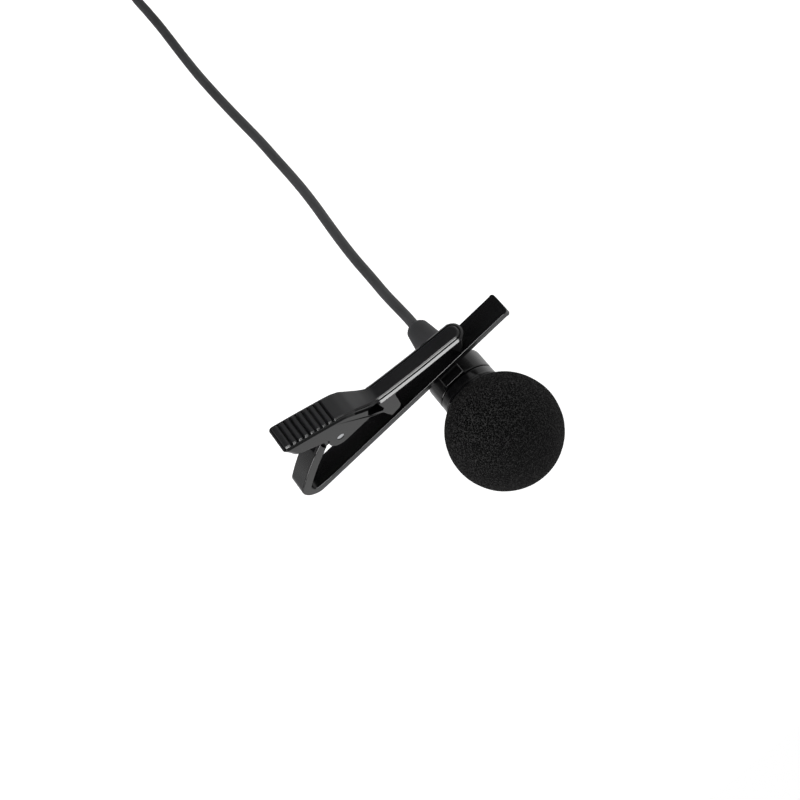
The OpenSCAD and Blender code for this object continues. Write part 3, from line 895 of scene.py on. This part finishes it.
def make_head():
    low, high = mm_box("head_shell")
    neck_low, top = low[2], high[2]
    shoulder = mm_box("clip_base")[1][2] + 0.1
    profile = fillet([(BOOT_BORE_R, neck_low), (NECK_R, neck_low), (NECK_R, shoulder), (HEAD_R, shoulder),
                      (HEAD_R, 5.5), (RING_R, 5.6), (RING_R, 5.9), (HEAD_R, 6.0), (HEAD_R, top),
                      (HEAD_BORE_R, top), (HEAD_BORE_R, 5.4), (BOOT_BORE_R, 5.4), (BOOT_BORE_R, neck_low)],
                     [0.1, 0.05, 0.3, 0.08, 0.08, 0.08, 0.08, 0.3, 0.1, 0.1, 0.1], 10)[:-1]
    obj = make_mesh("head_shell_turned", *lathe(profile, 160))
    return finish_piece(obj, "microphone", MATERIALS["head"], replaced=["head_shell"])


def make_boot():
    end = mm_box("strain_boot")[0][2]
    profile = fillet([(CORD_R, end + 0.25), (CORD_R + 0.12, end), (1.4, end), (1.6, end + 0.12),
                      (2.12, end + 0.7), (2.35, end + 2.0), (2.85, end + 5), (3.2, end + 7.6),
                      (3.38, end + 9.6), (3.4, BOOT_SHOULDER_Z), (BOOT_BORE_R, BOOT_SHOULDER_Z),
                      (BOOT_BORE_R, BOOT_TOP_Z), (CORD_R, BOOT_TOP_Z), (CORD_R, end + 0.25)],
                     [0.1, 0.15, 0.1, 0.9, 3, 8, 8, 1, 0.15, 0.1, 0.1, 0.1], 8)[:-1]
    obj = make_mesh("strain_boot_moulding", *lathe(profile, 128))
    return finish_piece(obj, "microphone", MATERIALS["boot"], replaced=["strain_boot"])


FOAM_R = (mm_box("windscreen")[1][0] - mm_box("windscreen")[0][0]) / 2
FOAM_Z = mm_box("windscreen")[1][2] - FOAM_R
SOCKET_R = 5.56
SOCKET_TOP = 15.1
LIP_R = 0.35
PORE_SCALE = 3.6
PORE_DEEP = 0.11
LUMP_DEEP = 0.04
SKIN_IN = 0.02


def make_windscreen():
    """A ball whose lowest part is folded up into the socket, with pores all over its outside."""
    bm = bmesh.new()
    bmesh.ops.create_icosphere(bm, subdivisions=8, radius=1)
    lip_angle = math.asin((SOCKET_R + LIP_R) / FOAM_R)
    mouth_z = FOAM_Z - FOAM_R * math.cos(lip_angle)
    inside = fillet([(0, SOCKET_TOP), (SOCKET_R, SOCKET_TOP), (SOCKET_R, mouth_z - 0.1),
                     (SOCKET_R + LIP_R, mouth_z)], [0.3, 0.2], 10)
    inside_len = lengths(inside)[-1]
    for v in bm.verts:
        d = v.co.normalized()
        from_bottom = math.acos(max(-1, min(1, -d.z)))
        flat = math.hypot(d.x, d.y)
        if from_bottom < lip_angle and flat > 0:
            r, z = at(inside, [inside_len * from_bottom / lip_angle])[0]
            place = Vector((d.x / flat * r, d.y / flat * r, z - FOAM_Z))
            outward = 0
        elif from_bottom < lip_angle:
            place, outward = Vector((0, 0, SOCKET_TOP - FOAM_Z)), 0
        else:
            place = d * FOAM_R
            outward = float(smoothstep((from_bottom - lip_angle) / 0.08))
        cell = noise.voronoi(place * PORE_SCALE, distance_metric="DISTANCE", exponent=2.5)[0]
        pore = 1 - min(1, cell[0] * 1.6)
        soft = noise.noise(place * 0.35)
        place -= d * outward * (PORE_DEEP * pore - LUMP_DEEP * soft + SKIN_IN)
        v.co = (place + Vector((MIC_X, MIC_Y, FOAM_Z))) * MM
    mesh = bpy.data.meshes.new("foam_ball")
    bm.to_mesh(mesh)
    bm.free()
    obj = bpy.data.objects.new("foam_ball", mesh)
    bpy.context.scene.collection.objects.link(obj)
    mesh.polygons.foreach_set("use_smooth", [True] * len(mesh.polygons))
    mesh.materials.append(MATERIALS["foam"])
    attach(obj, "foam")
    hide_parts("windscreen")
    return obj


make_head()
make_boot()
make_windscreen()


# ---------------------------------------------------------------- floor and light

FLOOR_HALF = 6.0


def make_stage():
    half = FLOOR_HALF / MM
    verts = np.array([(-half, -half, 0), (half, -half, 0), (half, half, 0), (-half, half, 0)])
    verts[:, 2] = FLOOR_Z
    floor = make_mesh("floor", verts, [(0, 1, 2, 3)])
    white = new_material("floor_white", (0.9, 0.9, 0.9), 0.8, Emission_Strength=0.7)
    white.node_tree.nodes["Principled BSDF"].inputs["Emission Color"].default_value = (1, 1, 1, 1)
    floor.data.materials.append(white)
    floor.visible_glossy = False


def area_light(name, place, size, power, diffuse=True, glossy=True):
    """A soft rectangular lamp aimed at the object. It can be left out of diffuse light or of reflections."""
    data = bpy.data.lights.new(name, "AREA")
    data.shape = "RECTANGLE"
    data.size, data.size_y = size
    data.energy = power
    light = bpy.data.objects.new(name, data)
    light.location = Vector(place)
    light.rotation_euler = (-Vector(place)).to_track_quat("-Z", "Y").to_euler()
    light.visible_diffuse = diffuse
    light.visible_glossy = glossy
    bpy.context.scene.collection.objects.link(light)


def make_world():
    """Lights the object from behind and from one side, and shows the camera plain white instead."""
    world = bpy.data.worlds.new("studio")
    bpy.context.scene.world = world
    world.use_nodes = True
    nodes, links = world.node_tree.nodes, world.node_tree.links
    room = nodes["Background"]
    room.inputs["Color"].default_value = (1, 1, 1, 1)
    place = nodes.new("ShaderNodeTexCoord")
    split = nodes.new("ShaderNodeSeparateXYZ")
    links.new(place.outputs["Generated"], split.inputs[0])

    def ramp(axis, start, end, low, high):
        node = nodes.new("ShaderNodeMapRange")
        node.interpolation_type = "SMOOTHSTEP"
        for key, value in zip(("From Min", "From Max", "To Min", "To Max"), (start, end, low, high)):
            node.inputs[key].default_value = value
        links.new(split.outputs[axis], node.inputs["Value"])
        return node.outputs["Result"]

    total = nodes.new("ShaderNodeMath")
    links.new(ramp("Y", *BACK_WALL), total.inputs[0])
    links.new(ramp("X", *SIDE_GLOW), total.inputs[1])
    links.new(total.outputs[0], room.inputs["Strength"])
    plain = nodes.new("ShaderNodeBackground")
    plain.inputs["Strength"].default_value = 1.0
    plain.inputs["Color"].default_value = (1, 1, 1, 1)
    ray = nodes.new("ShaderNodeLightPath")
    mix = nodes.new("ShaderNodeMixShader")
    links.new(ray.outputs["Is Camera Ray"], mix.inputs[0])
    links.new(room.outputs[0], mix.inputs[1])
    links.new(plain.outputs[0], mix.inputs[2])
    links.new(mix.outputs[0], nodes["World Output"].inputs["Surface"])


# Brightness of the room: from and to these direction values, between these two strengths
BACK_WALL = (-0.7, 0.15, 0.75, 0.04)
SIDE_GLOW = (0.3, 0.8, 0.0, 0.6)

make_stage()
make_world()
area_light("top_soft", (0.01, 0.24, 0.53), (0.38, 0.2), 3.3, diffuse=False)
area_light("key_soft", (-0.30, 0.42, -0.14), (0.4, 0.4), 3.2, glossy=False)
area_light("side_soft", (-0.50, -0.05, 0.34), (0.2, 0.2), 1.0)
area_light("low_side_soft", (-0.55, 0.02, -0.26), (0.3, 0.3), 0.08)
bpy.context.scene.view_settings.view_transform = "Standard"
